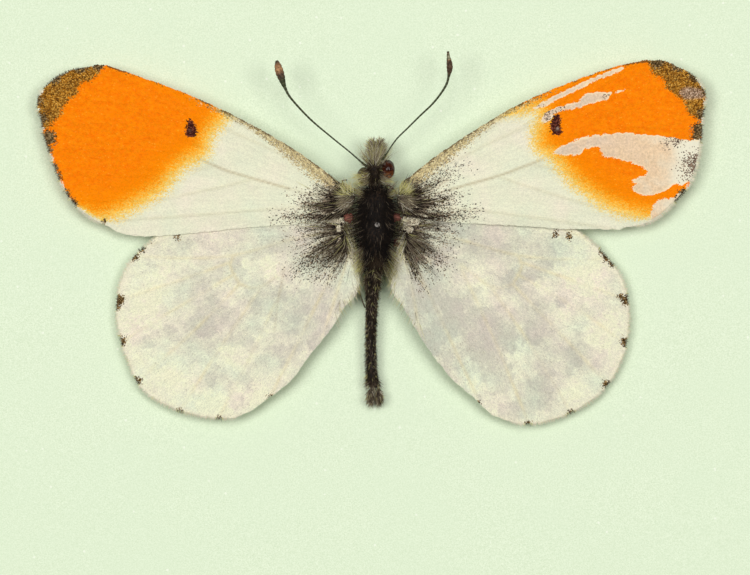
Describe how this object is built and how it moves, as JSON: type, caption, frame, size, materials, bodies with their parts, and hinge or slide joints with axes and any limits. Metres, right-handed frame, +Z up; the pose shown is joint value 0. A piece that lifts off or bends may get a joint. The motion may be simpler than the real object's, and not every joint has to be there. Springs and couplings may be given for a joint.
{
  "type": "pinned butterfly specimen on a foam mounting board",
  "caption": "Dried, set butterfly with orange-tipped white wings, held by a slender headless pin on a small rectangular board of foam faced with pale green paper.",
  "frame": {"origin": "middle of the board's underside", "axes": "+Z up out of the board, +Y towards the butterfly's head, +X towards its right wings"},
  "size_m": [0.056, 0.044, 0.0101],
  "materials": {
    "foam": "fine closed-cell foam, cut edges",
    "green_paper": "matt, fine-grained, pale green",
    "pin_steel": "plain drawn steel",
    "body_hair": "dark cuticle under long grey-black and olive hair",
    "abdomen_scales": "dark brown, thinly scaled and bristly",
    "forewing_scales": "powdery white scales with an orange outer half and a brown tip",
    "hindwing_scales": "powdery white scales, grey mottling showing through from below",
    "eye": "glossy dark red-brown facets",
    "antenna_horn": "ringed grey-brown, tan at the club's tip",
    "leg_horn": "grey-brown, finely scaled"
  },
  "bodies": {
    "root": {"foam_board": "foam", "paper_facing": "green_paper", "pin": "pin_steel", "thorax": "body_hair", "head": "body_hair", "abdomen": "abdomen_scales", "forewing_left": "forewing_scales", "forewing_right": "forewing_scales", "hindwing_left": "hindwing_scales", "hindwing_right": "hindwing_scales", "tegula_left": "body_hair", "tegula_right": "body_hair", "eye_left": "eye", "eye_right": "eye", "antenna_left": "antenna_horn", "antenna_right": "antenna_horn", "palp_left": "body_hair", "palp_right": "body_hair", "proboscis": "antenna_horn", "foreleg_left": "leg_horn", "foreleg_right": "leg_horn", "midleg_left": "leg_horn", "midleg_right": "leg_horn", "hindleg_left": "leg_horn", "hindleg_right": "leg_horn", "clasper_left": "abdomen_scales", "clasper_right": "abdomen_scales"}
  },
  "joints": []
}
